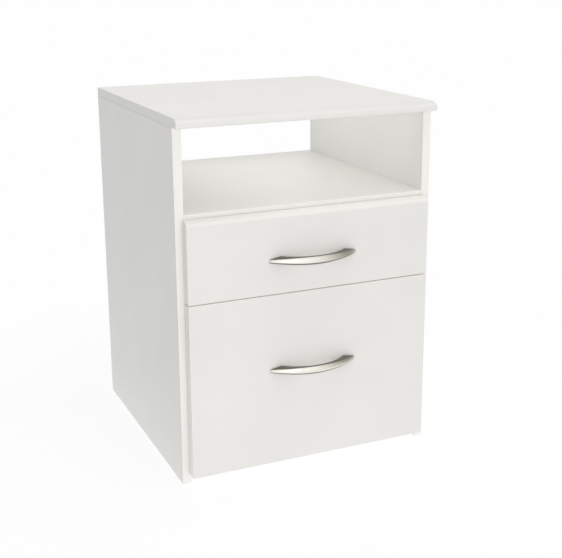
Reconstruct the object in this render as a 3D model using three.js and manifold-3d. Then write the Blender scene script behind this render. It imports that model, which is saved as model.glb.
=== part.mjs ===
// Two-drawer filing pedestal in white laminated board: an open compartment at the top, a shallow
// drawer and a deep filing drawer, each on roller runners and each with a tapered bow handle.
//
// Millimetres, +Z up, the drawers open towards -Y. Inside this file y = 0 is the front edge of the
// carcass and z = 0 is the floor. The exported group is shifted along Y, so that its origin is on
// the floor under the middle of the whole outline, from the handles to the rear edges.

import * as THREE from "three";
import { mergeVertices } from "three/addons/utils/BufferGeometryUtils.js";
import Module from "manifold-3d";

const wasm = await Module();
wasm.setup();

// ---------------------------------------------------------------- driving dimensions

// Carcass
const WIDTH = 465; // over the two side panels
const HEIGHT = 624; // floor to the top surface
const DEPTH = 450; // front edge to rear edge of a side panel
const BOARD = 15; // side panels, shelf and base
const TOP_BOARD = 16;
const TOP_OVERHANG = 20; // the top's nose, forward of the side panels
const NOSE_ROUND_DEPTH = 18; // the nose's soft upper edge, front to back
const NOSE_ROUND_DROP = 9; // and top to bottom
const NOSE_LOWER_ROUND = 3;
const SHELF_TOP = 468.7;
const BASE_BOTTOM = 20;
const BACK_SHEET = 3;
const BACK_INSET = 10; // rear edge of a side panel to the back sheet's groove
const GROOVE_PLAY = 0.4; // a groove is this much wider than its sheet
const GROOVE_DEPTH = 6;

// Floor glides and dowels
const GLIDE_HEIGHT = 3;
const GLIDE_RADIUS = 7;
const GLIDE_PIN_RADIUS = 2.2;
const GLIDE_PIN_LENGTH = 14;
const GLIDE_INSET = 30; // from the front and rear edges
const DOWEL_RADIUS = 4;
const DOWEL_LENGTH = 30;
const DOWEL_INSET = 60; // from the front and rear edges
const HOLE_PLAY = 0.4; // a drilled hole's radius over its pin's

// Drawers
const FRONT_BOARD = 18;
const FRONT_GAP = 1.5; // closed drawer front to carcass, held by bumpers
const FRONT_WIDTH = 441;
const FRONT_ROUND_DEPTH = 15; // the soft upper edge of the shallow drawer's front, front to back
const FRONT_ROUND_DROP = 11; // and top to bottom
const FRONT_EASE = 1.5; // the other long edges
const DRAWER_SIDE = 12;
const DRAWER_LENGTH = 400;
const DRAWER_BOTTOM = 3;
const BOTTOM_RISE = 8; // a drawer side's lower edge to the groove for the bottom
const SHEET_GROOVE = 5; // depth of the grooves that hold a drawer bottom

// Runners
const RUNNER_SPACE = 12.5; // side panel to drawer side
const STEEL = 1.2;
const TRACK_INNER = 20.7; // clear height inside a cabinet track
const TRACK_REACH = 9.6; // side panel to the track's open edge
const TRACK_START = 2; // behind the carcass front edge
const TRACK_LENGTH = 400;
const STOP_FROM_FRONT = 70.5;
const STOP_HEIGHT = 6;
const STOP_THICKNESS = 2;
const FLANGE_RISE = 18.9; // track floor to the underside of the drawer runner's flange
const FLANGE_EDGE = 2.5; // side panel to the flange's edge
const SIDE_RISE = 2; // track floor to the drawer side's lower edge
const FOOT_WIDTH = 12; // the drawer runner's leg under the drawer side
const ROLLER_RADIUS = 9;
const ROLLER_WIDTH = 5.8;
const ROLLER_BORE = 2.7;
const ROLLER_PLAY = 0.3;
const PIN_RADIUS = 2.2;
const PIN_HEAD_RADIUS = 4;
const PIN_HEAD = 0.8;
const FRONT_ROLLER_Y = 14; // cabinet roller, behind the carcass front edge
const REAR_ROLLER_INSET = 12; // drawer roller, from the drawer's rear end
const FRONT_ROLLER_AT = 2.2; // side panel to the near face of a cabinet roller
const REAR_ROLLER_AT = 3.2; // side panel to the near face of a drawer roller

// Handles
const HANDLE_LENGTH = 160;
const HANDLE_PROJECTION = 28;
const HANDLE_CLEARANCE = 22.5; // drawer front to the inside of the bow
const HANDLE_FOOT = 22;
const HANDLE_TIP_DEPTH = 1.2; // front to back at the blunt tips
const HANDLE_MID_HEIGHT = 13.5; // of the face
const HANDLE_TIP_HEIGHT = 5;
const HANDLE_TAPER = 0.8; // exponent of the face height's fall from the middle to the tips
const HANDLE_DRAFT = 0.16; // spread of the upper and lower faces towards the drawer front
const HANDLE_HOLES = 128; // between screw centres
const SCREW_RADIUS = 2;
const SCREW_GRIP = 7; // screw thread inside the handle's foot
const SCREW_HEAD_RADIUS = 4;
const SCREW_HEAD = 2.6;

// Filing rails, clipped over the sides of the deep drawer
const RAIL_STEEL = 1.4;
const RAIL_PLAY = 0.2;
const RAIL_SKIRT = 14;
const RAIL_LIP = 12;

// The two drawers: front from bottom to top, depth and drop of its soft upper edge, handle height,
// height of the sides, and underside of the tracks
const DRAWERS = [
  {
    label: "upper",
    front: [323, 460.5],
    softEdge: [FRONT_ROUND_DEPTH, FRONT_ROUND_DROP],
    handleZ: 380.5,
    sideHeight: 90,
    trackZ: 333,
    files: false,
  },
  {
    label: "lower",
    front: [18.5, 321.5],
    softEdge: [FRONT_EASE, FRONT_EASE],
    handleZ: 188.5,
    sideHeight: 250,
    trackZ: 38,
    files: true,
  },
];

// ---------------------------------------------------------------- worked-out places

const HALF = WIDTH / 2;
const INNER = HALF - BOARD; // inner face of a side panel
const TOP_UNDERSIDE = HEIGHT - TOP_BOARD;
const SHELF_UNDERSIDE = SHELF_TOP - BOARD;
const BASE_TOP = BASE_BOTTOM + BOARD;
const BACK_FRONT = DEPTH - BACK_INSET - BACK_SHEET; // front face of the back sheet
const FRONT_REAR_FACE = -FRONT_GAP;
const FRONT_FACE = -FRONT_GAP - FRONT_BOARD;
const DRAWER_OUTER = INNER - RUNNER_SPACE;
const DRAWER_INNER = DRAWER_OUTER - DRAWER_SIDE;
const DRAWER_REAR = FRONT_REAR_FACE + DRAWER_LENGTH;
const FRONT_REACH = HANDLE_PROJECTION - FRONT_FACE; // carcass front edge to the handles' crown

const SIDES = [
  { label: "left", sign: -1 },
  { label: "right", sign: 1 },
];
const ENDS = [
  { label: "front", from: (inset) => inset },
  { label: "rear", from: (inset) => DEPTH - inset },
];

// ---------------------------------------------------------------- materials

const finish = (color, roughness, metalness) =>
  new THREE.MeshStandardMaterial({ color, roughness, metalness });

const LAMINATE = finish(0xecebe8, 0.45, 0);
const HARDBOARD = finish(0xe4e2dc, 0.6, 0);
const BEECH = finish(0xc8a478, 0.8, 0);
const NICKEL = finish(0xa8a298, 0.3, 1);
const ZINC = finish(0xb9bcc0, 0.4, 1);
const COATED_STEEL = finish(0xe8e8e6, 0.4, 0.1);
const NYLON = finish(0xf2f1ec, 0.5, 0);
const PLASTIC = finish(0xd8d7d2, 0.6, 0);

// ---------------------------------------------------------------- geometry helpers

// A plain block between two corners, given as ranges along X, Y and Z.
function block([x0, x1], [y0, y1], [z0, z1]) {
  return new THREE.BoxGeometry(x1 - x0, y1 - y0, z1 - z0).translate(
    (x0 + x1) / 2,
    (y0 + y1) / 2,
    (z0 + z1) / 2,
  );
}

// The same range on the left or the right of the cabinet.
const mirrored = (sign, near, far) => (sign > 0 ? [near, far] : [-far, -near]);

// Extrudes an outline along one axis: u and v are the outline's own axes, and w the extrusion.
function extrude(outline, from, to, [u, v, w]) {
  const shape = new THREE.Shape(outline.map(([a, b]) => new THREE.Vector2(a, b)));
  const geometry = new THREE.ExtrudeGeometry(shape, { depth: to - from, bevelEnabled: false });
  return geometry
    .translate(0, 0, from)
    .applyMatrix4(new THREE.Matrix4().makeBasis(u, v, w));
}

const X = new THREE.Vector3(1, 0, 0);
const Y = new THREE.Vector3(0, 1, 0);
const Z = new THREE.Vector3(0, 0, 1);
const alongX = (outline, from, to) => extrude(outline, from, to, [Y, Z, X]);
// An outline in X and Z has its extrusion pointing at -Y, so the range is turned round.
const alongY = (outline, from, to) => extrude(outline, -to, -from, [X, Z, Y.clone().negate()]);

// A round bar of a given radius from one point to another.
function bar(radius, start, end, sides = 12) {
  const a = new THREE.Vector3(...start);
  const b = new THREE.Vector3(...end);
  const axis = b.clone().sub(a);
  const turn = new THREE.Quaternion().setFromUnitVectors(Y, axis.clone().normalize());
  const middle = a.add(b).multiplyScalar(0.5);
  return new THREE.CylinderGeometry(radius, radius, axis.length(), sides)
    .applyQuaternion(turn)
    .translate(middle.x, middle.y, middle.z);
}

// A ring about the X axis, such as a roller with its bore.
function ring(inner, outer, width, centre, sides) {
  const profile = [
    [inner, -width / 2],
    [outer, -width / 2],
    [outer, width / 2],
    [inner, width / 2],
    [inner, -width / 2],
  ].map(([r, h]) => new THREE.Vector2(r, h));
  return new THREE.LatheGeometry(profile, sides)
    .rotateZ(-Math.PI / 2)
    .translate(...centre);
}

// A quarter of an ellipse as points, from one end of its arc to the other.
function quarter([cx, cy], [rx, ry], startAngle, steps) {
  return Array.from({ length: steps + 1 }, (_, i) => {
    const angle = startAngle + (Math.PI / 2) * (i / steps);
    return [cx + rx * Math.cos(angle), cy + ry * Math.sin(angle)];
  });
}

function toSolid(geometry) {
  const bare = geometry.clone();
  bare.deleteAttribute("normal");
  bare.deleteAttribute("uv");
  const merged = mergeVertices(bare, 1e-4);
  return new wasm.Manifold(
    new wasm.Mesh({
      numProp: 3,
      vertProperties: merged.attributes.position.array,
      triVerts: new Uint32Array(merged.index.array),
    }),
  );
}

function toGeometry(solid) {
  const { vertProperties, triVerts } = solid.getMesh();
  const geometry = new THREE.BufferGeometry();
  geometry.setAttribute("position", new THREE.BufferAttribute(vertProperties, 3));
  geometry.setIndex(new THREE.BufferAttribute(triVerts, 1));
  geometry.computeVertexNormals();
  return geometry;
}

const cut = (geometry, tools) =>
  toGeometry(tools.reduce((solid, tool) => solid.subtract(toSolid(tool)), toSolid(geometry)));
const join = (geometry, others) =>
  toGeometry(others.reduce((solid, other) => solid.add(toSolid(other)), toSolid(geometry)));

function part(group, name, geometry, material) {
  const mesh = new THREE.Mesh(geometry, material);
  mesh.name = name;
  group.add(mesh);
}

// ---------------------------------------------------------------- joinery

// Each dowel joins a side panel to the top, the shelf or the base. start is its end in the side
// panel, and end the one in the other board.
const DOWELS = SIDES.flatMap(({ label, sign }) =>
  ENDS.flatMap(({ label: end, from }) => {
    const y = from(DOWEL_INSET);
    const inTop = TOP_BOARD - 5.5;
    const inSide = BOARD - 5;
    const level = (z) => ({
      start: [sign * (INNER + inSide), y, z],
      end: [sign * (INNER + inSide - DOWEL_LENGTH), y, z],
    });
    return [
      {
        name: `dowel_top_${end}_${label}`,
        start: [sign * (HALF - BOARD / 2), y, TOP_UNDERSIDE + inTop - DOWEL_LENGTH],
        end: [sign * (HALF - BOARD / 2), y, TOP_UNDERSIDE + inTop],
      },
      { name: `dowel_shelf_${end}_${label}`, ...level(SHELF_TOP - BOARD / 2) },
      { name: `dowel_base_${end}_${label}`, ...level(BASE_BOTTOM + BOARD / 2) },
    ];
  }),
);

// The drilled holes that one kind of dowel needs, a little wider and longer than the dowels.
function dowelHoles(kind, sign) {
  return DOWELS.filter(
    ({ name, start }) => name.startsWith(`dowel_${kind}`) && (!sign || start[0] * sign > 0),
  ).map(({ start, end }) => {
    const a = new THREE.Vector3(...start);
    const b = new THREE.Vector3(...end);
    const spare = b.clone().sub(a).normalize().multiplyScalar(HOLE_PLAY);
    return bar(DOWEL_RADIUS + HOLE_PLAY, a.sub(spare).toArray(), b.add(spare).toArray());
  });
}

function addDowels(group) {
  for (const { name, start, end } of DOWELS) {
    part(group, name, bar(DOWEL_RADIUS, start, end), BEECH);
  }
}

// ---------------------------------------------------------------- carcass

function topPanel() {
  const nose = -TOP_OVERHANG;
  const outline = [
    [DEPTH, TOP_UNDERSIDE],
    [DEPTH, HEIGHT],
    ...quarter(
      [nose + NOSE_ROUND_DEPTH, HEIGHT - NOSE_ROUND_DROP],
      [NOSE_ROUND_DEPTH, NOSE_ROUND_DROP],
      Math.PI / 2,
      6,
    ),
    ...quarter(
      [nose + NOSE_LOWER_ROUND, TOP_UNDERSIDE + NOSE_LOWER_ROUND],
      [NOSE_LOWER_ROUND, NOSE_LOWER_ROUND],
      Math.PI,
      3,
    ),
  ];
  return cut(alongX(outline, -HALF, HALF), dowelHoles("top"));
}

const backGrooveY = [BACK_FRONT - GROOVE_PLAY / 2, BACK_FRONT + BACK_SHEET + GROOVE_PLAY / 2];

function sidePanel(sign) {
  const panel = block(mirrored(sign, INNER, HALF), [0, DEPTH], [GLIDE_HEIGHT, TOP_UNDERSIDE]);
  const groove = block(
    mirrored(sign, INNER - 1, INNER + GROOVE_DEPTH),
    backGrooveY,
    [BASE_BOTTOM, SHELF_UNDERSIDE + GROOVE_DEPTH],
  );
  const glideHoles = ENDS.map(({ from }) => {
    const x = sign * (HALF - BOARD / 2);
    const y = from(GLIDE_INSET);
    return bar(
      GLIDE_PIN_RADIUS + HOLE_PLAY,
      [x, y, 0],
      [x, y, GLIDE_HEIGHT + GLIDE_PIN_LENGTH + HOLE_PLAY],
    );
  });
  const holes = ["top", "shelf", "base"].flatMap((kind) => dowelHoles(kind, sign));
  return cut(panel, [groove, ...glideHoles, ...holes]);
}

function fixedShelf() {
  const shelf = block([-INNER, INNER], [0, DEPTH], [SHELF_UNDERSIDE, SHELF_TOP]);
  const groove = block(
    [-INNER - 1, INNER + 1],
    backGrooveY,
    [SHELF_UNDERSIDE - 1, SHELF_UNDERSIDE + GROOVE_DEPTH],
  );
  return cut(shelf, [groove, ...dowelHoles("shelf")]);
}

function basePanel() {
  const base = block([-INNER, INNER], [0, BACK_FRONT - GROOVE_PLAY], [BASE_BOTTOM, BASE_TOP]);
  return cut(base, dowelHoles("base"));
}

function backPanel() {
  const reach = INNER + GROOVE_DEPTH - GROOVE_PLAY;
  return block(
    [-reach, reach],
    [BACK_FRONT, BACK_FRONT + BACK_SHEET],
    [BASE_BOTTOM + GROOVE_PLAY, SHELF_UNDERSIDE + GROOVE_DEPTH - GROOVE_PLAY],
  );
}

// A flat plastic foot with the pin that is pressed into the panel's lower edge.
function floorGlide(x, y) {
  const foot = bar(GLIDE_RADIUS, [x, y, 0], [x, y, GLIDE_HEIGHT], 16);
  const pin = bar(GLIDE_PIN_RADIUS, [x, y, 1], [x, y, GLIDE_HEIGHT + GLIDE_PIN_LENGTH]);
  return join(foot, [pin]);
}

function addCarcass(group) {
  part(group, "top_panel", topPanel(), LAMINATE);
  part(group, "fixed_shelf", fixedShelf(), LAMINATE);
  part(group, "base_panel", basePanel(), LAMINATE);
  part(group, "back_panel", backPanel(), HARDBOARD);
  for (const { label, sign } of SIDES) {
    part(group, `side_panel_${label}`, sidePanel(sign), LAMINATE);
    for (const { label: end, from } of ENDS) {
      const glide = floorGlide(sign * (HALF - BOARD / 2), from(GLIDE_INSET));
      part(group, `floor_glide_${end}_${label}`, glide, PLASTIC);
    }
  }
  addDowels(group);
}

// ---------------------------------------------------------------- runners

// Places on a runner are distances from the side panel's inner face, so that one outline serves
// both sides: at(d) is such a distance as an x.
const fromPanel = (sign) => (distance) => sign * (INNER - distance);

// The pin that a roller turns on, with its riveted head at the far end.
function rollerPin(at, from, to, y, z) {
  const head = to + Math.sign(to - from) * PIN_HEAD;
  return [
    bar(PIN_RADIUS, [at(from), y, z], [at(to), y, z]),
    bar(PIN_HEAD_RADIUS, [at(to), y, z], [at(head), y, z]),
  ];
}

// The track on the side panel: a channel open towards the drawer, with the front roller's pin and
// the stop that the drawer's own roller meets when it is fully open.
function cabinetTrack(sign, trackZ) {
  const at = fromPanel(sign);
  const floor = trackZ + STEEL;
  const ceiling = floor + TRACK_INNER;
  const outline = [
    [0, trackZ],
    [TRACK_REACH, trackZ],
    [TRACK_REACH, floor],
    [STEEL, floor],
    [STEEL, ceiling],
    [TRACK_REACH, ceiling],
    [TRACK_REACH, ceiling + STEEL],
    [0, ceiling + STEEL],
  ].map(([d, z]) => [at(d), z]);
  const channel = alongY(outline, TRACK_START, TRACK_START + TRACK_LENGTH);
  const stop = block(
    mirrored(sign, INNER - TRACK_REACH + 1, INNER - STEEL / 2),
    [STOP_FROM_FRONT, STOP_FROM_FRONT + STOP_THICKNESS],
    [floor - STEEL / 2, floor + STOP_HEIGHT],
  );
  const pin = rollerPin(
    at,
    STEEL / 2,
    FRONT_ROLLER_AT + ROLLER_WIDTH + ROLLER_PLAY,
    FRONT_ROLLER_Y,
    frontRollerZ(trackZ),
  );
  return join(channel, [stop, ...pin]);
}

// The drawer's own runner: a leg under the drawer side, a web up its face and a flange that rolls
// on the cabinet's front roller, with the rear roller's pin.
function drawerRunner(sign, trackZ) {
  const at = fromPanel(sign);
  const floor = trackZ + STEEL;
  const web = RUNNER_SPACE - STEEL;
  const foot = floor + SIDE_RISE;
  const outline = [
    [RUNNER_SPACE + FOOT_WIDTH, foot - STEEL],
    [RUNNER_SPACE + FOOT_WIDTH, foot],
    [RUNNER_SPACE, foot],
    [RUNNER_SPACE, floor + FLANGE_RISE + STEEL],
    [FLANGE_EDGE, floor + FLANGE_RISE + STEEL],
    [FLANGE_EDGE, floor + FLANGE_RISE],
    [web, floor + FLANGE_RISE],
    [web, foot - STEEL],
  ].map(([d, z]) => [at(d), z]);
  const pin = rollerPin(
    at,
    RUNNER_SPACE - STEEL / 2,
    REAR_ROLLER_AT - ROLLER_PLAY,
    DRAWER_REAR - REAR_ROLLER_INSET,
    rearRollerZ(trackZ),
  );
  return join(alongY(outline, FRONT_REAR_FACE, DRAWER_REAR), pin);
}

// The front roller carries the drawer runner's flange, and the rear one rolls on the track floor.
const frontRollerZ = (trackZ) => trackZ + STEEL + FLANGE_RISE - ROLLER_PLAY - ROLLER_RADIUS;
const rearRollerZ = (trackZ) => trackZ + STEEL + ROLLER_PLAY + ROLLER_RADIUS;

function roller(sign, nearFace, y, z) {
  const x = fromPanel(sign)(nearFace + ROLLER_WIDTH / 2);
  return ring(ROLLER_BORE, ROLLER_RADIUS, ROLLER_WIDTH, [x, y, z], 20);
}

// ---------------------------------------------------------------- handles

// Height of the handle's face at a distance x from its middle.
function handleHeight(x) {
  const fall = Math.max(0, 1 - (x / (HANDLE_LENGTH / 2)) ** 2) ** HANDLE_TAPER;
  return HANDLE_TIP_HEIGHT + (HANDLE_MID_HEIGHT - HANDLE_TIP_HEIGHT) * fall;
}

// A circular bow over a chord, as its rise above the chord at x.
function bowRise(x, chord, rise) {
  const radius = ((chord / 2) ** 2 + rise ** 2) / (2 * rise);
  return Math.sqrt(radius ** 2 - x ** 2) - (radius - rise);
}

// The handle's four-cornered section at x, clockwise from its upper rear corner, seen from +X.
function handleSection(x, z) {
  const clear = HANDLE_LENGTH / 2 - HANDLE_FOOT;
  const bow = bowRise(x, HANDLE_LENGTH, HANDLE_PROJECTION - HANDLE_TIP_DEPTH);
  const outer = HANDLE_TIP_DEPTH + bow;
  const inner = Math.abs(x) < clear ? bowRise(x, 2 * clear, HANDLE_CLEARANCE) : 0;
  const face = handleHeight(x) / 2;
  const rear = face + HANDLE_DRAFT * (outer - inner);
  return [
    [x, FRONT_FACE - inner, z + rear],
    [x, FRONT_FACE - inner, z - rear],
    [x, FRONT_FACE - outer, z - face],
    [x, FRONT_FACE - outer, z + face],
  ];
}

const evenly = (from, to, steps) =>
  Array.from({ length: steps + 1 }, (_, i) => from + ((to - from) * i) / steps);

// Joins four-cornered sections, one after the other, into a closed solid.
function loft(sections) {
  const last = 4 * (sections.length - 1);
  const faces = [0, 1, 2, 0, 2, 3, last, last + 2, last + 1, last, last + 3, last + 2];
  for (let row = 0; row < last; row += 4) {
    for (let k = 0; k < 4; k += 1) {
      const a = row + k;
      const b = row + ((k + 1) % 4);
      faces.push(a, a + 4, b, b, a + 4, b + 4);
    }
  }
  const geometry = new THREE.BufferGeometry();
  const points = new Float32Array(sections.flat(2));
  geometry.setAttribute("position", new THREE.BufferAttribute(points, 3));
  geometry.setIndex(faces);
  return geometry;
}

function handle(z) {
  const tip = HANDLE_LENGTH / 2;
  const clear = tip - HANDLE_FOOT;
  const stations = [
    ...evenly(-tip, -clear, 5),
    ...evenly(-clear, clear, 14).slice(1, -1),
    ...evenly(clear, tip, 5),
  ];
  const bow = loft(stations.map((x) => handleSection(x, z)));
  const holes = SIDES.map(({ sign }) => {
    const x = (sign * HANDLE_HOLES) / 2;
    const end = FRONT_FACE - SCREW_GRIP - HOLE_PLAY;
    return bar(SCREW_RADIUS + HOLE_PLAY, [x, FRONT_FACE + 1, z], [x, end, z]);
  });
  return cut(bow, holes);
}

// A pan-head machine screw, put in from inside the drawer.
function handleScrew(sign, z) {
  const x = (sign * HANDLE_HOLES) / 2;
  const shank = bar(SCREW_RADIUS, [x, FRONT_REAR_FACE + 1, z], [x, FRONT_FACE - SCREW_GRIP, z]);
  const head = bar(
    SCREW_HEAD_RADIUS,
    [x, FRONT_REAR_FACE, z],
    [x, FRONT_REAR_FACE + SCREW_HEAD, z],
    16,
  );
  return join(head, [shank]);
}

// ---------------------------------------------------------------- drawers

const sideBottom = ({ trackZ }) => trackZ + STEEL + SIDE_RISE;
const sheetBottom = (drawer) => sideBottom(drawer) + BOTTOM_RISE;

// The groove for a drawer's bottom sheet, over the given ranges of x and y.
const sheetGroove = (drawer, x, y) =>
  block(x, y, [sheetBottom(drawer), sheetBottom(drawer) + DRAWER_BOTTOM + GROOVE_PLAY]);

function drawerFront(drawer) {
  const [bottom, top] = drawer.front;
  const [roundDepth, roundDrop] = drawer.softEdge;
  const outline = [
    [FRONT_REAR_FACE, bottom],
    [FRONT_REAR_FACE, top],
    ...quarter(
      [FRONT_FACE + roundDepth, top - roundDrop],
      [roundDepth, roundDrop],
      Math.PI / 2,
      roundDrop > FRONT_EASE ? 6 : 2,
    ),
    ...quarter(
      [FRONT_FACE + FRONT_EASE, bottom + FRONT_EASE],
      [FRONT_EASE, FRONT_EASE],
      Math.PI,
      2,
    ),
  ];
  const groove = sheetGroove(
    drawer,
    [-DRAWER_INNER - SHEET_GROOVE, DRAWER_INNER + SHEET_GROOVE],
    [FRONT_REAR_FACE - SHEET_GROOVE, FRONT_REAR_FACE + 1],
  );
  const screwHoles = SIDES.map(({ sign }) => {
    const x = (sign * HANDLE_HOLES) / 2;
    const { handleZ } = drawer;
    const radius = SCREW_RADIUS + HOLE_PLAY;
    return bar(radius, [x, FRONT_REAR_FACE + 1, handleZ], [x, FRONT_FACE - 1, handleZ]);
  });
  const slab = alongX(outline, -FRONT_WIDTH / 2, FRONT_WIDTH / 2);
  return cut(slab, [groove, ...screwHoles]);
}

function drawerSide(drawer, sign) {
  const bottom = sideBottom(drawer);
  const board = block(
    mirrored(sign, DRAWER_INNER, DRAWER_OUTER),
    [FRONT_REAR_FACE, DRAWER_REAR],
    [bottom, bottom + drawer.sideHeight],
  );
  const grooveX = mirrored(sign, DRAWER_INNER - 1, DRAWER_INNER + SHEET_GROOVE);
  return cut(board, [sheetGroove(drawer, grooveX, [FRONT_REAR_FACE - 1, DRAWER_REAR + 1])]);
}

// The back stands on the bottom sheet, between the sides.
function drawerBack(drawer) {
  return block(
    [-DRAWER_INNER, DRAWER_INNER],
    [DRAWER_REAR - DRAWER_SIDE, DRAWER_REAR],
    [sheetBottom(drawer) + DRAWER_BOTTOM + GROOVE_PLAY, sideBottom(drawer) + drawer.sideHeight],
  );
}

function drawerBottom(drawer) {
  const reach = DRAWER_INNER + SHEET_GROOVE - GROOVE_PLAY;
  const z = sheetBottom(drawer) + GROOVE_PLAY / 2;
  return block(
    [-reach, reach],
    [FRONT_REAR_FACE - SHEET_GROOVE + GROOVE_PLAY, DRAWER_REAR],
    [z, z + DRAWER_BOTTOM],
  );
}

// A steel strip clipped over a drawer side, whose inner lip carries the hooks of hanging files.
function fileRail(drawer, sign) {
  const top = sideBottom(drawer) + drawer.sideHeight;
  const inner = DRAWER_INNER - RAIL_PLAY;
  const outer = DRAWER_OUTER + RAIL_PLAY;
  const outline = [
    [inner - RAIL_STEEL, top - RAIL_SKIRT],
    [inner, top - RAIL_SKIRT],
    [inner, top + RAIL_PLAY],
    [outer, top + RAIL_PLAY],
    [outer, top - RAIL_SKIRT],
    [outer + RAIL_STEEL, top - RAIL_SKIRT],
    [outer + RAIL_STEEL, top + RAIL_PLAY + RAIL_STEEL],
    [inner, top + RAIL_PLAY + RAIL_STEEL],
    [inner, top + RAIL_LIP],
    [inner - RAIL_STEEL, top + RAIL_LIP],
  ].map(([x, z]) => [sign * x, z]);
  return alongY(outline, 0, DRAWER_REAR - DRAWER_SIDE - GROOVE_PLAY);
}

function addDrawer(group, drawer) {
  const { label, trackZ, handleZ } = drawer;
  part(group, `${label}_drawer_front`, drawerFront(drawer), LAMINATE);
  part(group, `${label}_drawer_back`, drawerBack(drawer), LAMINATE);
  part(group, `${label}_drawer_bottom`, drawerBottom(drawer), HARDBOARD);
  part(group, `${label}_handle`, handle(handleZ), NICKEL);
  for (const { label: hand, sign } of SIDES) {
    part(group, `${label}_drawer_side_${hand}`, drawerSide(drawer, sign), LAMINATE);
    part(group, `${label}_drawer_runner_${hand}`, drawerRunner(sign, trackZ), COATED_STEEL);
    part(group, `${label}_handle_screw_${hand}`, handleScrew(sign, handleZ), ZINC);
    part(
      group,
      `${label}_drawer_roller_${hand}`,
      roller(sign, REAR_ROLLER_AT, DRAWER_REAR - REAR_ROLLER_INSET, rearRollerZ(trackZ)),
      NYLON,
    );
    if (drawer.files) {
      part(group, `file_rail_${hand}`, fileRail(drawer, sign), COATED_STEEL);
    }
  }
}

function addTracks(group, { label, trackZ }) {
  for (const { label: hand, sign } of SIDES) {
    part(group, `${label}_cabinet_track_${hand}`, cabinetTrack(sign, trackZ), COATED_STEEL);
    part(
      group,
      `${label}_cabinet_roller_${hand}`,
      roller(sign, FRONT_ROLLER_AT, FRONT_ROLLER_Y, frontRollerZ(trackZ)),
      NYLON,
    );
  }
}

// ---------------------------------------------------------------- assembly

const cabinet = new THREE.Group();
addCarcass(cabinet);
for (const drawer of DRAWERS) {
  addTracks(cabinet, drawer);
  const box = new THREE.Group();
  addDrawer(box, drawer);
  cabinet.add(box);
}

const group = new THREE.Group();
cabinet.position.y = -(DEPTH - FRONT_REACH) / 2;
group.add(cabinet);

export default group;
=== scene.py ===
"""The looks of the two-drawer filing pedestal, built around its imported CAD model.

Metres, +Z up, the drawers open towards -Y, and the floor is at z = 0. The boards, runners and
dowels keep their CAD meshes and get fine edges and materials. The top panel, the drawer fronts,
the handles and the round hardware are replaced by smoother pieces in the same places.
"""

import math

import bpy
from mathutils import Matrix, Vector


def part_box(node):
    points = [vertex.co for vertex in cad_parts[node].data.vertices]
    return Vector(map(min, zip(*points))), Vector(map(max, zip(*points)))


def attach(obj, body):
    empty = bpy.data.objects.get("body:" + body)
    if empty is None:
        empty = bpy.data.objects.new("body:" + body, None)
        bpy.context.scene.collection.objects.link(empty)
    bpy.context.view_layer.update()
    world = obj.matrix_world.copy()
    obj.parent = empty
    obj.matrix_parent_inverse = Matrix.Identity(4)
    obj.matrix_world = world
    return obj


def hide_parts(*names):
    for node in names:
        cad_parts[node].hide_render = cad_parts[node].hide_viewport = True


MM = 0.001
X, Y, Z = 0, 1, 2
SIDES = {"left": -1, "right": 1}
ENDS = ("front", "rear")
DRAWERS = ("upper", "lower")

# Top panel
NOSE_DEPTH = 18 * MM  # the soft upper edge of its front, front to back
NOSE_DROP = 9 * MM
NOSE_UNDERCUT = 3 * MM
TOP_EASE = 0.9 * MM

# Drawer fronts
FRONT_EASE = 1.5 * MM  # radius of the lower edge, and of the deep front's upper one
FRONT_END_EASE = 2.5 * MM  # and of the two upright edges
SOFT_EDGE = {  # depth and drop of the front's upper edge
    "upper": (15 * MM, 11 * MM),
    "lower": (FRONT_EASE, FRONT_EASE),
}

# Handles
HANDLE_HALF = 80 * MM
HANDLE_RISE = 28 * MM
HANDLE_INNER_HALF = 58 * MM  # where the inside of the bow meets the drawer front
HANDLE_INNER_RISE = 22.5 * MM
HANDLE_TIP = 5 * MM  # height of the face at the tips
HANDLE_SWELL = 8.5 * MM  # and how much more it has in the middle
HANDLE_TAPER = 0.8
HANDLE_DRAFT = 0.16  # spread of the upper and lower faces towards the drawer front
HANDLE_CROWN = 1.2 * MM  # how far the face bulges between its upper and lower edges
HANDLE_ARRIS = 0.3 * MM  # the crisp upper edge of the face
HANDLE_LOWER_ROUND = 3.2 * MM  # its soft lower edge
HANDLE_TIP_DEPTH = 1.2 * MM  # front to back at the blunt tips
HANDLE_TIP_ROUND = 1.6 * MM
HANDLE_REAR_ROUND = 0.6 * MM  # its edges next to the drawer front
HANDLE_FULL_HALF = 5 * MM  # half the face's height, below which its rounded edges get smaller
HANDLE_STATIONS = 120  # steps along the bow
CROWN_STEPS = 10  # down the face
ROUND_STEPS = 7  # round its lower edge

# Boards
BOARD_EASE = 0.5 * MM
HARDBOARD_EASE = 0.2 * MM
BAND = 0.9 * MM  # thickness of an edge band
BAND_SEAM = 0.22 * MM  # width of the line where it meets the face

# Small hardware
ROLLER_RADIUS = 9 * MM
ROLLER_BORE = 2.7 * MM
ROLLER_RIM = 0.6 * MM  # radius of its outer edges
ROLLER_DISH = 0.5 * MM  # depth of the recess in each face
PIN_HEAD = 0.75 * MM  # height of a roller pin's flat head
RIVET_RADIUS = 4.1 * MM
RIVET_HEIGHT = 0.7 * MM
TRACK_STEEL = 1.2 * MM
RUNNER_SCREW_RADIUS = 3.6 * MM
RUNNER_SCREW_HEIGHT = 1.1 * MM
RUNNER_SCREWS_AT = (0.13, 0.5, 0.87)  # shares of the track's length
HANDLE_SCREW_HEIGHT = 2.5 * MM
BUMPER_RADIUS = 3.2 * MM
BUMPER_HEIGHT = 1.3 * MM
BUMPER_REACH = 208 * MM  # from the middle to a bumper
BUMPER_CLEAR = 0.2 * MM  # above the shelf's lower edge
GLIDE_RIM = 0.8 * MM  # radius of its lower edge
GLIDE_UPPER_RIM = 0.4 * MM
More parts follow.
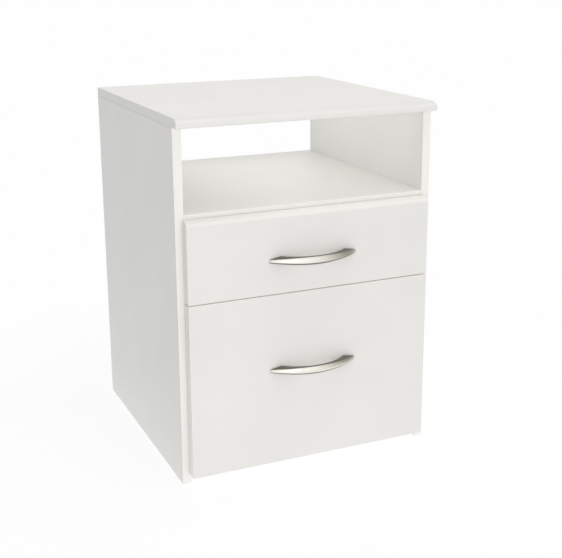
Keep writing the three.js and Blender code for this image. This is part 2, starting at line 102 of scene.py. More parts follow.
STEEL_EASE = 0.25 * MM
DOWEL_EASE = 0.6 * MM

# A small rounded corner is cut by one point, at this share of its radius from both of its sides
CORNER_CUT = 0.3


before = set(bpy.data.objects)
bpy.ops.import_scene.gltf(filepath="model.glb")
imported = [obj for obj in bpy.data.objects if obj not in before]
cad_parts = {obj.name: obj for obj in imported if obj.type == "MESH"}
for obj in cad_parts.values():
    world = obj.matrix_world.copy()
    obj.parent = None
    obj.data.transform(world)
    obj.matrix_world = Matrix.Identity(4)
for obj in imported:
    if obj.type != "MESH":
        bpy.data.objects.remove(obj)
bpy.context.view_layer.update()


# ---------------------------------------------------------------- node helpers


def new_shader(name):
    """A material with one Principled shader, as (material, node tree, shader)."""
    material = bpy.data.materials.new(name)
    material.use_nodes = True
    tree = material.node_tree
    tree.nodes.clear()
    output = tree.nodes.new("ShaderNodeOutputMaterial")
    shader = tree.nodes.new("ShaderNodeBsdfPrincipled")
    tree.links.new(shader.outputs["BSDF"], output.inputs["Surface"])
    return material, tree, shader


def feed(tree, socket, value):
    """Gives an input socket a number, a colour or another node's output."""
    if isinstance(value, bpy.types.NodeSocket):
        tree.links.new(value, socket)
    else:
        socket.default_value = value


def maths(tree, operation, *values):
    node = tree.nodes.new("ShaderNodeMath")
    node.operation = operation
    for socket, value in zip(node.inputs, values):
        feed(tree, socket, value)
    return node.outputs[0]


def remap(tree, value, low, high, to_low, to_high, smooth=False):
    """Carries a value from the range low to high over to the range to_low to to_high."""
    node = tree.nodes.new("ShaderNodeMapRange")
    if smooth:
        node.interpolation_type = "SMOOTHSTEP"
    for socket, number in zip(node.inputs, (value, low, high, to_low, to_high)):
        feed(tree, socket, number)
    return node.outputs["Result"]


def mix_colour(tree, factor, first, second):
    node = tree.nodes.new("ShaderNodeMix")
    node.data_type = "RGBA"
    feed(tree, node.inputs["Factor"], factor)
    feed(tree, node.inputs[6], first)
    feed(tree, node.inputs[7], second)
    return node.outputs[2]


def coordinates(tree, kind="Object", stretch=(1, 1, 1)):
    """Texture coordinates, stretched along the three axes."""
    source = tree.nodes.new("ShaderNodeTexCoord").outputs[kind]
    if stretch == (1, 1, 1):
        return source
    mapping = tree.nodes.new("ShaderNodeMapping")
    mapping.inputs["Scale"].default_value = stretch
    tree.links.new(source, mapping.inputs["Vector"])
    return mapping.outputs["Vector"]


def split(tree, vector):
    node = tree.nodes.new("ShaderNodeSeparateXYZ")
    tree.links.new(vector, node.inputs[0])
    return node.outputs


def noise(tree, vector, scale, detail=2.0, roughness=0.5):
    node = tree.nodes.new("ShaderNodeTexNoise")
    node.inputs["Scale"].default_value = scale
    node.inputs["Detail"].default_value = detail
    node.inputs["Roughness"].default_value = roughness
    tree.links.new(vector, node.inputs["Vector"])
    return node.outputs["Fac"]


def bump(tree, shader, height, depth):
    """Raises the surface by up to depth, in metres, where height is 1."""
    node = tree.nodes.new("ShaderNodeBump")
    node.inputs["Strength"].default_value = 1.0
    node.inputs["Distance"].default_value = depth
    tree.links.new(height, node.inputs["Height"])
    tree.links.new(node.outputs["Normal"], shader.inputs["Normal"])


def mottled(tree, shader, colour, share, scale):
    """Colours the shader, a little darker and lighter in soft patches."""
    patches = noise(tree, coordinates(tree), scale, 3.0)
    darker = [channel * (1 - share) for channel in colour] + [1]
    lighter = [min(1, channel * (1 + share)) for channel in colour] + [1]
    blend = remap(tree, patches, 0.3, 0.7, 0.0, 1.0)
    feed(tree, shader.inputs["Base Color"], mix_colour(tree, blend, darker, lighter))


# ---------------------------------------------------------------- materials

FACE_WHITE = (0.9, 0.892, 0.866, 1)
# the edge band's own white, and also the painted highlight on the wrapped fronts' rounded edges
BAND_AND_HIGHLIGHT_WHITE = (0.97, 0.955, 0.92, 1)
FOIL_WHITE = (0.868, 0.86, 0.836, 1)
SEAM_GREY = (0.6, 0.58, 0.54, 1)
HARDBOARD_WHITE = (0.83, 0.822, 0.795)
BEECH_PALE = (0.72, 0.5, 0.3, 1)
BEECH_DARK = (0.5, 0.3, 0.16, 1)
NICKEL_DEEP = (0.79, 0.775, 0.71, 1)
NICKEL_BRIGHT = (0.87, 0.855, 0.785, 1)
# painted shade: the dark colour painted on the handles' upward- and downward-facing sides
NICKEL_PAINTED_SHADE = (0.2, 0.195, 0.165, 1)
ZINC_GREY = (0.66, 0.67, 0.69)
EPOXY_WHITE = (0.84, 0.84, 0.825)
NYLON_WHITE = (0.86, 0.85, 0.81)
PLASTIC_GREY = (0.72, 0.71, 0.69)
RUBBER_WHITE = (0.78, 0.78, 0.76)


def laminate(name, low, high, through, finish):
    """White laminated board with a fine pearl grain.

    low and high are the board's corners, and through is the axis of its thickness. A "banded"
    board has a brighter edge band, and a hairline where the band meets its faces. A "wrapped" one
    is covered in foil, and its rounded edges are painted whiter than its face, a painted
    highlight.
    A "plain" one has the foil's colour all over.
    """
    material, tree, shader = new_shader(name)
    place = coordinates(tree)
    patches = remap(tree, noise(tree, place, 9, 2.0), 0.3, 0.7, 0.985, 1.01)
    specks = remap(tree, noise(tree, place, 1400, 1.0), 0.25, 0.75, 0.985, 1.01)
    upright = maths(tree, "ABSOLUTE", split(tree, coordinates(tree, "Normal"))[through])
    if finish == "banded":
        on_edge = remap(tree, upright, 0.55, 0.8, 1.0, 0.0)
        colour = mix_colour(tree, on_edge, FACE_WHITE, BAND_AND_HIGHLIGHT_WHITE)
        colour = mix_colour(tree, band_seam(tree, place, low, high, through), colour, SEAM_GREY)
    elif finish == "wrapped":
        # painted highlight: the foil's rounded edges are painted whiter than its face
        on_edge = remap(tree, upright, 0.85, 0.995, 1.0, 0.0, True)
        colour = mix_colour(tree, on_edge, FOIL_WHITE, BAND_AND_HIGHLIGHT_WHITE)
    else:
        colour = FOIL_WHITE[:3]
    shade = tree.nodes.new("ShaderNodeVectorMath")
    shade.operation = "SCALE"
    feed(tree, shade.inputs[0], colour)
    feed(tree, shade.inputs["Scale"], maths(tree, "MULTIPLY", patches, specks))
    tree.links.new(shade.outputs["Vector"], shader.inputs["Base Color"])
    grain = noise(tree, place, 1100, 3.0, 0.6)
    feed(tree, shader.inputs["Roughness"], remap(tree, grain, 0.3, 0.7, 0.4, 0.5))
    bump(tree, shader, grain, 0.03 * MM)
    return material


def band_seam(tree, place, low, high, through):
    """1 on the hairline where an edge band meets the board's face, and 0 elsewhere."""
    position = split(tree, place)
    distances = []
    for axis in (X, Y, Z):
        if axis != through:
            middle = (low[axis] + high[axis]) / 2
            half = (high[axis] - low[axis]) / 2
            offset = maths(tree, "ABSOLUTE", maths(tree, "SUBTRACT", position[axis], middle))
            distances.append(maths(tree, "SUBTRACT", half, offset))
    nearest = maths(tree, "MINIMUM", *distances)
    away = maths(tree, "ABSOLUTE", maths(tree, "SUBTRACT", nearest, BAND))
    return remap(tree, away, 0, BAND_SEAM, 0.6, 0, True)


def hardboard():
    """Thin white-faced hardboard, matt, with a faint felted texture."""
    material, tree, shader = new_shader("hardboard")
    mottled(tree, shader, HARDBOARD_WHITE, 0.02, 60)
    fibres = noise(tree, coordinates(tree, "Object", (1, 2.5, 1)), 420, 6.0, 0.7)
    feed(tree, shader.inputs["Roughness"], remap(tree, fibres, 0.3, 0.7, 0.55, 0.72))
    bump(tree, shader, fibres, 0.08 * MM)
    return material


def beech():
    """Raw beech dowel, with short dark flecks in a fine straight grain."""
    material, tree, shader = new_shader("beech")
    grain = noise(tree, coordinates(tree, "Object", (1, 1, 0.2)), 900, 4.0, 0.6)
    blend = remap(tree, grain, 0.35, 0.7, 0.0, 1.0)
    feed(tree, shader.inputs["Base Color"], mix_colour(tree, blend, BEECH_PALE, BEECH_DARK))
    shader.inputs["Roughness"].default_value = 0.7
    bump(tree, shader, grain, 0.1 * MM)
    return material


def satin_nickel():
    """Satin nickel plate, brushed along the bow's face, and painted dark above and below as
    painted shade.
    """
    material, tree, shader = new_shader("satin_nickel")
    strokes = noise(tree, coordinates(tree, "Object", (0.04, 1, 1)), 5200, 3.0, 0.6)
    # painted shade: the parts facing up and down are painted dark, standing in for the dark
    # reflections they show
    upright = split(tree, coordinates(tree, "Normal"))[Z]
    above = remap(tree, upright, 0.7, 0.92, 0.0, 1.0, True)
    below = remap(tree, upright, -0.18, -0.34, 0.0, 1.0, True)
    painted_shade_side = maths(tree, "MAXIMUM", above, below)
    blend = remap(tree, strokes, 0.3, 0.7, 0.0, 1.0)
    face = mix_colour(tree, blend, NICKEL_DEEP, NICKEL_BRIGHT)
    feed(tree, shader.inputs["Base Color"], mix_colour(tree, painted_shade_side, face, NICKEL_PAINTED_SHADE))
    shader.inputs["Metallic"].default_value = 1.0
    polish = remap(tree, strokes, 0.3, 0.7, 0.22, 0.32)
    feed(tree, shader.inputs["Roughness"], polish)
    bump(tree, shader, strokes, 0.02 * MM)
    return material


def zinc_steel():
    """Bright zinc plate with faint cloudy patches."""
    material, tree, shader = new_shader("zinc_steel")
    mottled(tree, shader, ZINC_GREY, 0.08, 700)
    shader.inputs["Metallic"].default_value = 1.0
    clouds = noise(tree, coordinates(tree), 1800, 3.0)
    feed(tree, shader.inputs["Roughness"], remap(tree, clouds, 0.3, 0.7, 0.26, 0.42))
    bump(tree, shader, clouds, 0.02 * MM)
    return material


def coated_steel():
    """White epoxy coat on sheet steel, with the light orange peel of a sprayed powder."""
    material, tree, shader = new_shader("coated_steel")
    mottled(tree, shader, EPOXY_WHITE, 0.015, 25)
    peel = noise(tree, coordinates(tree), 650, 2.0)
    feed(tree, shader.inputs["Roughness"], remap(tree, peel, 0.3, 0.7, 0.28, 0.38))
    bump(tree, shader, peel, 0.06 * MM)
    return material


def moulded(name, colour, roughness):
    """Moulded plastic with a fine spark-eroded surface."""
    material, tree, shader = new_shader(name)
    mottled(tree, shader, colour, 0.02, 300)
    texture = noise(tree, coordinates(tree), 2600, 2.0)
    low, high = roughness
    feed(tree, shader.inputs["Roughness"], remap(tree, texture, 0.3, 0.7, low, high))
    bump(tree, shader, texture, 0.03 * MM)
    return material


def bumper_rubber():
    """Soft clear-white silicone."""
    material, tree, shader = new_shader("bumper_rubber")
    mottled(tree, shader, RUBBER_WHITE, 0.02, 400)
    shader.inputs["Roughness"].default_value = 0.35
    shader.inputs["Subsurface Weight"].default_value = 0.3
    shader.inputs["Subsurface Scale"].default_value = 0.001
    return material


# ---------------------------------------------------------------- shape helpers


def arc(centre, radii, start, steps):
    """A quarter of an ellipse as points in two coordinates, turning anticlockwise."""
    angles = [start + math.pi / 2 * step / steps for step in range(steps + 1)]
    return [
        (centre[0] + radii[0] * math.cos(a), centre[1] + radii[1] * math.sin(a))
        for a in angles
    ]


def lofted(sections):
    """Vertices and faces of a solid through closed sections, all of the same number of points."""
    count = len(sections[0])
    vertices = [point for section in sections for point in section]
    walls = [
        (
            row * count + k,
            row * count + (k + 1) % count,
            (row + 1) * count + (k + 1) % count,
            (row + 1) * count + k,
        )
        for row in range(len(sections) - 1)
        for k in range(count)
    ]
    last = len(vertices) - count
    caps = [tuple(reversed(range(count))), tuple(range(last, last + count))]
    return vertices, walls + caps


def prism(outline, start, end):
    """Vertices and faces of an outline in y and z, anticlockwise from +X, extruded along X."""
    return lofted([[(x, y, z) for y, z in outline] for x in (start, end)])


def turned(profile, steps=40):
    """Vertices and faces of a profile of (height, radius), turned about Z. It is a closed ring
    if its last point repeats its first, and otherwise its two ends are closed flat."""
    ring = profile[0] == profile[-1]
    rows = profile[:-1] if ring else profile
    vertices = [
        (
            radius * math.cos(2 * math.pi * k / steps),
            radius * math.sin(2 * math.pi * k / steps),
            height,
        )
        for height, radius in rows
        for k in range(steps)
    ]
    pairs = [(i, i + 1) for i in range(len(rows) - 1)]
    if ring:
        pairs.append((len(rows) - 1, 0))
    faces = [
        (
            a * steps + k,
            a * steps + (k + 1) % steps,
            b * steps + (k + 1) % steps,
            b * steps + k,
        )
        for a, b in pairs
        for k in range(steps)
    ]
    if not ring:
        last = (len(rows) - 1) * steps
        faces.append(tuple(reversed(range(steps))))
        faces.append(tuple(range(last, last + steps)))
    return vertices, faces


def new_mesh(name, vertices, faces, smooth_below=40):
    mesh = bpy.data.meshes.new(name)
    mesh.from_pydata(vertices, [], faces)
    mesh.validate()
    mesh.shade_smooth()
    mesh.set_sharp_from_angle(angle=math.radians(smooth_below))
    return mesh


def add_piece(name, mesh, material, body, centre=(0, 0, 0), axis=(0, 0, 1)):
    """Puts a mesh in the scene with its own Z along axis, riding on a CAD body."""
    piece = bpy.data.objects.new(name, mesh)
    bpy.context.scene.collection.objects.link(piece)
    if not mesh.materials:
        mesh.materials.append(material)
    turn = Vector((0, 0, 1)).rotation_difference(Vector(axis))
    piece.matrix_world = Matrix.Translation(centre) @ turn.to_matrix().to_4x4()
    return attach(piece, body)


def ease_ends(piece, width, share, rear):
    """Rounds the two ends of a prism along X, and its long rear edges by a share of that."""
    mesh = piece.data
    weights = mesh.attributes.new("bevel_weight_edge", "FLOAT", "EDGE")
    for edge in mesh.edges:
        a, b = (mesh.vertices[index].co for index in edge.vertices)
        at_rear = min(a.y, b.y) > rear - 0.01 * MM
        if at_rear:
            weights.data[edge.index].value = share
        elif abs(a.x - b.x) < 0.01 * MM:
            weights.data[edge.index].value = 1.0
    bevel = piece.modifiers.new("eased_ends", "BEVEL")
    bevel.limit_method = "WEIGHT"
    bevel.width = width
    bevel.segments = 4
    bevel.harden_normals = True


def ease_edges(piece, width, segments=2, above=40):
    """Rounds every edge sharper than an angle in degrees."""
    bevel = piece.modifiers.new("eased_edges", "BEVEL")
    bevel.limit_method = "ANGLE"
    bevel.angle_limit = math.radians(above)
    bevel.width = width
    bevel.segments = segments
    bevel.harden_normals = True


# ---------------------------------------------------------------- boards


def top_panel():
    low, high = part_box("top_panel")
    nose = (low.y + NOSE_DEPTH, high.z - NOSE_DROP)
    undercut = (low.y + NOSE_UNDERCUT, low.z + NOSE_UNDERCUT)
    outline = [
        (high.y, low.z),
        (high.y, high.z),
        *arc(nose, (NOSE_DEPTH, NOSE_DROP), math.pi / 2, 20),
        *arc(undercut, (NOSE_UNDERCUT, NOSE_UNDERCUT), math.pi, 8),
    ]
    vertices, faces = prism(outline, low.x, high.x)
    mesh = new_mesh("top_panel_piece", vertices, faces)
    material = laminate("top_laminate", low, high, Z, "plain")
    piece = add_piece("top_panel_piece", mesh, material, "cabinet")
    ease_edges(piece, TOP_EASE, 3, 60)
    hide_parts("top_panel")


def drawer_front(which):
    low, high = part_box(f"{which}_drawer_front")
    depth, drop = SOFT_EDGE[which]
    outline = [
        (high.y, low.z),
        (high.y, high.z),
        *arc((low.y + depth, high.z - drop), (depth, drop), math.pi / 2, 16),
        *arc((low.y + FRONT_EASE, low.z + FRONT_EASE), (FRONT_EASE, FRONT_EASE), math.pi, 5),
    ]
    vertices, faces = prism(outline, low.x, high.x)
    name = f"{which}_front_piece"
    mesh = new_mesh(name, vertices, faces)
    material = laminate(f"{which}_front_laminate", low, high, Y, "wrapped")
    piece = add_piece(name, mesh, material, f"{which}_drawer")
    ease_ends(piece, FRONT_END_EASE, 0.2, high.y)
    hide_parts(f"{which}_drawer_front")


def cad_piece(node, material, width):
    """Gives a CAD node its material, and rounds its edges."""
    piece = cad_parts[node]
    piece.data.materials.clear()
    piece.data.materials.append(material)
    weld = piece.modifiers.new("weld", "WELD")
    weld.merge_threshold = 0.001 * MM
    flat = piece.modifiers.new("merge_flat_faces", "DECIMATE")
    flat.decimate_type = "DISSOLVE"
    flat.angle_limit = math.radians(1)
    ease_edges(piece, width)


BOARDS = {  # each board's node, and the axis of its thickness
    "side_panel_left": X,
    "side_panel_right": X,
    "fixed_shelf": Z,
    "base_panel": Z,
    "upper_drawer_back": Y,
    "lower_drawer_back": Y,
    "upper_drawer_side_left": X,
    "upper_drawer_side_right": X,
    "lower_drawer_side_left": X,
    "lower_drawer_side_right": X,
}


def boards():
    for node, through in BOARDS.items():
        low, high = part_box(node)
        material = laminate(f"{node}_laminate", low, high, through, "banded")
        cad_piece(node, material, BOARD_EASE)
    thin = hardboard()
    for node in ("back_panel", "upper_drawer_bottom", "lower_drawer_bottom"):
        cad_piece(node, thin, HARDBOARD_EASE)


# ---------------------------------------------------------------- handles


def bow(x, half, rise):
    """How far a circular bow over a chord stands above it at x."""
    radius = (half**2 + rise**2) / (2 * rise)
    return math.sqrt(radius**2 - x**2) - (radius - rise)


def handle_section(x):
    """The handle's outline at x, as (distance from the drawer front, height from its middle)."""
    outer = HANDLE_TIP_DEPTH + bow(x, HANDLE_HALF, HANDLE_RISE - HANDLE_TIP_DEPTH)
    inside = abs(x) < HANDLE_INNER_HALF
    inner = bow(x, HANDLE_INNER_HALF, HANDLE_INNER_RISE) if inside else 0.0
    taper = max(0.0, 1 - (x / HANDLE_HALF) ** 2) ** HANDLE_TAPER
    half = (HANDLE_TIP + HANDLE_SWELL * taper) / 2
    beyond = abs(x) - (HANDLE_HALF - HANDLE_TIP_ROUND)
    if beyond > 0:
        half *= math.sqrt(max(0.05, 1 - (beyond / HANDLE_TIP_ROUND) ** 2))
    depth = outer - inner
    size = min(1.0, depth / (HANDLE_RISE - HANDLE_INNER_RISE), half / HANDLE_FULL_HALF)
    crown = HANDLE_CROWN * size
    arris = HANDLE_ARRIS * size
    soft = HANDLE_LOWER_ROUND * size
    back = min(HANDLE_REAR_ROUND, depth / 3)
    rear = half + HANDLE_DRAFT * depth
    edge = outer - crown
    top = half - arris
    bottom = soft - half
    upper = [
        (inner, rear - back),
        (inner + back * CORNER_CUT, rear - back * CORNER_CUT),
        (inner + back, rear - HANDLE_DRAFT * back),
        (edge - arris, half + HANDLE_DRAFT * arris),
        (edge - arris * CORNER_CUT, half - arris * CORNER_CUT),
    ]
    turns = [math.pi / 2 * step / ROUND_STEPS for step in range(1, ROUND_STEPS + 1)]
    heights = [top + (bottom - top) * step / CROWN_STEPS for step in range(CROWN_STEPS + 1)]
    falls = [0.0] * len(heights) + [soft * (1 - math.cos(turn)) for turn in turns]
    heights += [bottom - soft * math.sin(turn) for turn in turns]
    face = [
        (edge + crown * (1 - (height / half) ** 2) - fall, height)
        for height, fall in zip(heights, falls)
    ]
    lower = [
        (inner + back, HANDLE_DRAFT * back - rear),
        (inner + back * CORNER_CUT, back * CORNER_CUT - rear),
        (inner, back - rear),
    ]
    return upper + face + lower


def handle(which):
    low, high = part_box(f"{which}_handle")
    middle = (low.z + high.z) / 2
    sections = []
    for step in range(HANDLE_STATIONS + 1):
        # stations crowd towards the tips, where the outline turns fastest
        x = -HANDLE_HALF * math.cos(math.pi * step / HANDLE_STATIONS)
        sections.append([(x, high.y - out, middle + up) for out, up in handle_section(x)])
    name = f"{which}_handle_piece"
    mesh = new_mesh(name, *lofted(sections), 50)
    piece = add_piece(name, mesh, MATERIALS["satin_nickel"], f"{which}_drawer")
    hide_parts(f"{which}_handle")


# ---------------------------------------------------------------- small hardware


def cross_recess(radius, depth, top):
    """A closed cross-shaped cutter, as vertices and faces, standing down from a height of top."""
    arm = radius * 0.3
    outline = [
        (arm, arm),
        (arm, radius),
        (-arm, radius),
        (-arm, arm),
        (-radius, arm),
        (-radius, -arm),
        (-arm, -arm),
        (-arm, -radius),
        (arm, -radius),
        (arm, -arm),
        (radius, -arm),
        (radius, arm),
    ]
    lower = [(x * 0.6, y * 0.6, top - depth) for x, y in outline]
    upper = [(x, y, top + depth) for x, y in outline]
    return lofted([lower, upper])


def screw_head_mesh(name, radius, height):
    """A pan head with a cross recess, standing on z = 0."""
    profile = [(0, radius)]
    for step in range(1, 9):
        angle = math.pi / 2 * step / 9
        profile.append((height * math.sin(angle), radius * (0.35 + 0.65 * math.cos(angle))))
    head = bpy.data.objects.new(name, new_mesh(name, *turned(profile, 32)))
    cutter_mesh = new_mesh(f"{name}_recess", *cross_recess(radius * 0.6, height * 0.7, height))
    cutter = bpy.data.objects.new(f"{name}_recess", cutter_mesh)
    for item in (head, cutter):
        bpy.context.scene.collection.objects.link(item)
    cut = head.modifiers.new("recess", "BOOLEAN")
    cut.operation = "DIFFERENCE"
    cut.object = cutter
    cut.solver = "EXACT"
    bpy.context.view_layer.update()
    evaluated = head.evaluated_get(bpy.context.evaluated_depsgraph_get())
    mesh = bpy.data.meshes.new_from_object(evaluated)
    mesh.name = name
    mesh.shade_smooth()
    mesh.set_sharp_from_angle(angle=math.radians(40))
    bpy.data.objects.remove(head)
    bpy.data.objects.remove(cutter)
    return mesh


def roller_mesh():
    """A nylon roller about Z: rounded rims, and a shallow recess round the bore on each face."""
    low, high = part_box("upper_drawer_roller_left")
    half = (high.x - low.x) / 2
    cut = ROLLER_RIM * CORNER_CUT
    upper = [
        (half - ROLLER_RIM, ROLLER_RADIUS),
        (half - cut, ROLLER_RADIUS - cut),
        (half, ROLLER_RADIUS - ROLLER_RIM),
        (half, ROLLER_RADIUS - 1.8 * MM),
        (half - ROLLER_DISH, ROLLER_RADIUS - 2.4 * MM),
        (half - ROLLER_DISH, ROLLER_BORE + 1.6 * MM),
        (half, ROLLER_BORE + 1.1 * MM),
        (half, ROLLER_BORE),
    ]
    lower = [(-height, radius) for height, radius in upper]
    profile = [*reversed(lower), *upper, lower[-1]]
    return new_mesh("roller", *turned(profile, 48))


def rollers():
    mesh = roller_mesh()
    for which in DRAWERS:
        for kind in ("cabinet", "drawer"):
            for side in SIDES:
                node = f"{which}_{kind}_roller_{side}"
                low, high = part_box(node)
                piece = add_piece(
                    f"{node}_piece",
                    mesh,
                    MATERIALS["nylon"],
                    node,
                    (low + high) / 2,
                    (1, 0, 0),
                )
                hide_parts(node)


def dome(radius, height):
    """The profile of a dome on z = 0, up to a small flat on its top."""
    angles = [math.pi / 2 * step / 8 for step in range(8)]
    return [(height * math.sin(angle), radius * math.cos(angle)) for angle in angles]


def rivet_mesh():
    """The domed head of a riveted pin, standing on z = 0, with its small turned dimple."""
    dimple = (RIVET_HEIGHT * 0.7, RIVET_RADIUS * 0.12)
    return new_mesh("rivet", *turned([*dome(RIVET_RADIUS, RIVET_HEIGHT), dimple], 32))


def rivets():
    """A domed head over each roller pin's flat CAD head."""
    mesh = rivet_mesh()
    for which in DRAWERS:
        for kind, body, inward in (
            ("cabinet", "cabinet", 1),
            ("drawer", f"{which}_drawer", -1),
        ):
            for side, sign in SIDES.items():
                low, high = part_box(f"{which}_{kind}_roller_{side}")
                middle = (low + high) / 2
                # a cabinet pin's head is on the drawer's side, and a drawer pin's on the panel's
                far = low.x if sign * inward > 0 else high.x
                out = -sign * inward
                add_piece(
                    f"{which}_{kind}_rivet_{side}",
                    mesh,
                    MATERIALS["zinc_steel"],
                    body,
                    (far + out * PIN_HEAD, middle.y, middle.z),
                    (out, 0, 0),
                )


def runner_screws():
    """Pan-head screws through each cabinet track."""
    mesh = screw_head_mesh("runner_screw", RUNNER_SCREW_RADIUS, RUNNER_SCREW_HEIGHT)
    for which in DRAWERS:
        for side, sign in SIDES.items():
            low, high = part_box(f"{which}_cabinet_track_{side}")
            wall = high.x - TRACK_STEEL if sign > 0 else low.x + TRACK_STEEL
            for index, along in enumerate(RUNNER_SCREWS_AT):
                add_piece(
                    f"{which}_track_screw_{side}_{index + 1}",
                    mesh,
                    MATERIALS["zinc_steel"],
                    "cabinet",
                    (wall, low.y + (high.y - low.y) * along, (low.z + high.z) / 2),
                    (-sign, 0, 0),
                )


def handle_screws():
    """The machine screws' heads inside the drawers, over the CAD shanks."""
    low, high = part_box("upper_handle_screw_left")
    radius = (high.x - low.x) / 2
    mesh = screw_head_mesh("handle_screw", radius, HANDLE_SCREW_HEIGHT)
    for which in DRAWERS:
        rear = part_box(f"{which}_drawer_front")[1].y
        for side in SIDES:
            node = f"{which}_handle_screw_{side}"
            low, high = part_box(node)
            middle = (low + high) / 2
            piece = add_piece(
                f"{node}_piece",
                mesh,
                MATERIALS["zinc_steel"],
                f"{which}_drawer",
                (middle.x, rear, middle.z),
                (0, 1, 0),
            )
            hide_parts(node)


def glides():
    """Flat plastic feet with a rounded rim."""
    low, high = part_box("floor_glide_front_left")
    radius = (high.x - low.x) / 2
    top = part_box("side_panel_left")[0].z
    cut = GLIDE_RIM * CORNER_CUT
    profile = [
        (0, radius - GLIDE_RIM),
        (cut, radius - cut),
        (GLIDE_RIM, radius),
        (top - GLIDE_UPPER_RIM, radius),
        (top, radius - GLIDE_UPPER_RIM),
    ]
    mesh = new_mesh("glide", *turned(profile, 48))
    for end in ENDS:
        for side in SIDES:
            node = f"floor_glide_{end}_{side}"
            low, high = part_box(node)
            middle = (low + high) / 2
            piece = add_piece(
                f"{node}_piece",
                mesh,
                MATERIALS["plastic"],
                "cabinet",
                (middle.x, middle.y, 0),
            )
            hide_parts(node)


def bumpers():
    """Small domes behind the drawer fronts, which meet the shelf's and the base's front edges."""
    mesh = new_mesh("bumper", *turned(dome(BUMPER_RADIUS, BUMPER_HEIGHT), 32))
    shelf_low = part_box("fixed_shelf")[0]
    base_low, base_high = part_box("base_panel")
    heights = {
        "upper": shelf_low.z + BUMPER_RADIUS + BUMPER_CLEAR,
        "lower": (base_low.z + base_high.z) / 2,
    }
    for which in DRAWERS:
        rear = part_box(f"{which}_drawer_front")[1].y
        for side, sign in SIDES.items():
            add_piece(
                f"{which}_bumper_{side}",
                mesh,
                MATERIALS["bumper_rubber"],
                f"{which}_drawer",
                (sign * BUMPER_REACH, rear, heights[which]),
                (0, 1, 0),
            )


def steel_and_dowels():
    """The CAD nodes that keep their own shape: runners, filing rails and dowels."""
    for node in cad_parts:
        if "_track_" in node or "_runner_" in node or node.startswith("file_rail"):
            cad_piece(node, MATERIALS["coated_steel"], STEEL_EASE)
        if node.startswith("dowel"):
            cad_piece(node, MATERIALS["beech"], DOWEL_EASE)


# ---------------------------------------------------------------- studio

BACKDROP = 0.991  # what the camera sees behind the object
FLOOR_CLEAR = 0.42  # the floor is solid to this radius
FLOOR_RADIUS = 0.9  # and has faded into the backdrop at this one
FLOOR_GREY = 0.25  # a floor that is mostly lit from within holds only faint shadows
FLOOR_GLOW = 0.8


def floor():
    """A pale round floor that fades out, and is seen through from below."""
    steps = 96
    ring = [2 * math.pi * k / steps for k in range(steps)]
    vertices = [(FLOOR_RADIUS * math.cos(a), FLOOR_RADIUS * math.sin(a), 0) for a in ring]
    mesh = new_mesh("floor", vertices, [tuple(range(steps))])
    plane = bpy.data.objects.new("floor", mesh)
    bpy.context.scene.collection.objects.link(plane)
    material, tree, shader = new_shader("floor")
    shader.inputs["Base Color"].default_value = (FLOOR_GREY, FLOOR_GREY, FLOOR_GREY, 1)
    shader.inputs["Roughness"].default_value = 0.9
    shader.inputs["Specular IOR Level"].default_value = 0.0
    shader.inputs["Emission Color"].default_value = (1, 1, 1, 1)
    shader.inputs["Emission Strength"].default_value = FLOOR_GLOW
    distance = tree.nodes.new("ShaderNodeVectorMath")
    distance.operation = "LENGTH"
    tree.links.new(coordinates(tree), distance.inputs[0])
    fade = remap(tree, distance.outputs["Value"], FLOOR_CLEAR, FLOOR_RADIUS, 1.0, 0.0, True)
    below = tree.nodes.new("ShaderNodeNewGeometry").outputs["Backfacing"]
    solid = maths(tree, "MULTIPLY", fade, maths(tree, "SUBTRACT", 1.0, below))
    feed(tree, shader.inputs["Alpha"], solid)
    plane.data.materials.append(material)


ROOM = {  # brightness of the room in each of the six directions
    "left": 0.12,
    "right": 0.25,
    "front": 1.15,
    "back": 1.35,
    "below": 1.0,
    "above": 0.37,
}
ROOM_WARMTH = (1, 0.9, 0.82, 1)  # tint of the room on the right


def backdrop():
    """A white backdrop for the camera, over a softly shaded room that lights the object."""
    world = bpy.data.worlds.new("studio")
    bpy.context.scene.world = world
    world.use_nodes = True
    tree = world.node_tree
    tree.nodes.clear()
    direction = split(tree, coordinates(tree, "Generated"))
    room = 0.0
    opposites = (("left", "right"), ("front", "back"), ("below", "above"))
    for axis, (under, over) in enumerate(opposites):
        share = maths(tree, "MULTIPLY", direction[axis], direction[axis])
        side = maths(tree, "GREATER_THAN", direction[axis], 0.0)
        level = remap(tree, side, 0.0, 1.0, ROOM[under], ROOM[over])
        room = maths(tree, "ADD", room, maths(tree, "MULTIPLY", share, level))
    warmth = remap(tree, direction[X], 0.0, 0.9, 0.0, 0.5, True)
    tint = mix_colour(tree, warmth, (1, 1, 1, 1), ROOM_WARMTH)
    light = tree.nodes.new("ShaderNodeBackground")
    feed(tree, light.inputs["Color"], tint)
    feed(tree, light.inputs["Strength"], room)
    seen = tree.nodes.new("ShaderNodeBackground")
    seen.inputs["Strength"].default_value = BACKDROP
    seen.inputs["Color"].default_value = (1, 1, 1, 1)
    choose = tree.nodes.new("ShaderNodeMixShader")
    ray = tree.nodes.new("ShaderNodeLightPath").outputs["Is Camera Ray"]
    feed(tree, choose.inputs["Fac"], ray)
    tree.links.new(light.outputs[0], choose.inputs[1])
    tree.links.new(seen.outputs[0], choose.inputs[2])
    output = tree.nodes.new("ShaderNodeOutputWorld")
    tree.links.new(choose.outputs[0], output.inputs["Surface"])


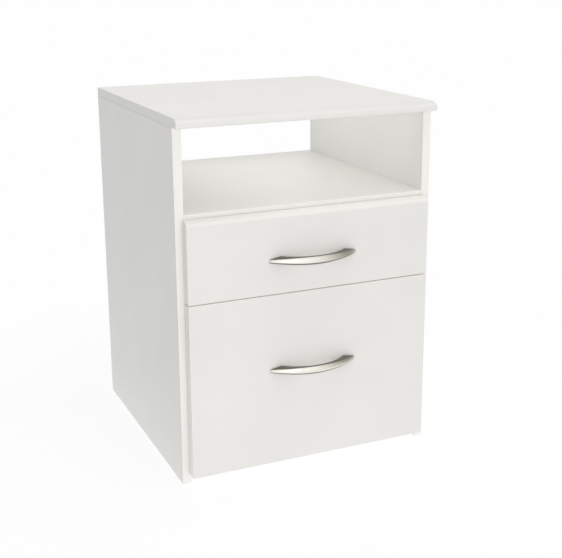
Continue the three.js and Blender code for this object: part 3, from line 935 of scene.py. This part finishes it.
def softbox(name, centre, target, width, height, radiance):
    """A soft rectangular light of a given brightness, aimed at a target."""
    light = bpy.data.lights.new(name, "AREA")
    light.shape = "RECTANGLE"
    light.size = width
    light.size_y = height
    light.energy = radiance * math.pi * width * height
    box = bpy.data.objects.new(name, light)
    bpy.context.scene.collection.objects.link(box)
    box.location = centre
    aim = Vector(target) - Vector(centre)
    box.rotation_euler = aim.to_track_quat("-Z", "Y").to_euler()
    box.visible_camera = False


SOFTBOXES = (  # name, centre, target, width, height and radiance
    ("front_softbox", (-1.5, -2.4, 0.35), (0, 0, 0.35), 2.2, 2.6, 0.45),
    ("top_softbox", (0.3, -0.4, 2.4), (0, 0, 0.6), 2.0, 1.8, 1.45),
    # hangs just under the top panel, and lifts the open compartment
    ("fill_softbox", (0.04, 0.025, 0.606), (0.04, 0.025, 0), 0.34, 0.43, 0.36),
)

CAMERA_PLACE = (-0.73, -1.744, 0.855)
CAMERA_HEADING = -23.8  # degrees about Z, so negative is from +Y towards +X
CAMERA_PITCH = -15.1
CAMERA_ROLL = -0.35
CAMERA_LENS = 67.5
CAMERA_SHIFT = -0.06


def camera():
    """Seen from the front and a little from the left and above."""
    data = bpy.data.cameras.new("camera")
    data.lens = CAMERA_LENS
    data.shift_y = CAMERA_SHIFT
    view = bpy.data.objects.new("camera", data)
    bpy.context.scene.collection.objects.link(view)
    heading = Matrix.Rotation(math.radians(CAMERA_HEADING), 4, "Z")
    tilt = Matrix.Rotation(math.radians(90 + CAMERA_PITCH), 4, "X")
    roll = Matrix.Rotation(math.radians(CAMERA_ROLL), 4, "Z")
    view.matrix_world = Matrix.Translation(CAMERA_PLACE) @ heading @ tilt @ roll
    bpy.context.scene.camera = view
    bpy.context.scene.view_settings.view_transform = "Standard"


# ---------------------------------------------------------------- assembly

MATERIALS = {
    "beech": beech(),
    "satin_nickel": satin_nickel(),
    "zinc_steel": zinc_steel(),
    "coated_steel": coated_steel(),
    "nylon": moulded("nylon", NYLON_WHITE, (0.35, 0.48)),
    "plastic": moulded("plastic", PLASTIC_GREY, (0.45, 0.6)),
    "bumper_rubber": bumper_rubber(),
}

top_panel()
boards()
for drawer in DRAWERS:
    drawer_front(drawer)
    handle(drawer)
steel_and_dowels()
rollers()
rivets()
runner_screws()
handle_screws()
glides()
bumpers()

floor()
backdrop()
for settings in SOFTBOXES:
    softbox(*settings)
camera()
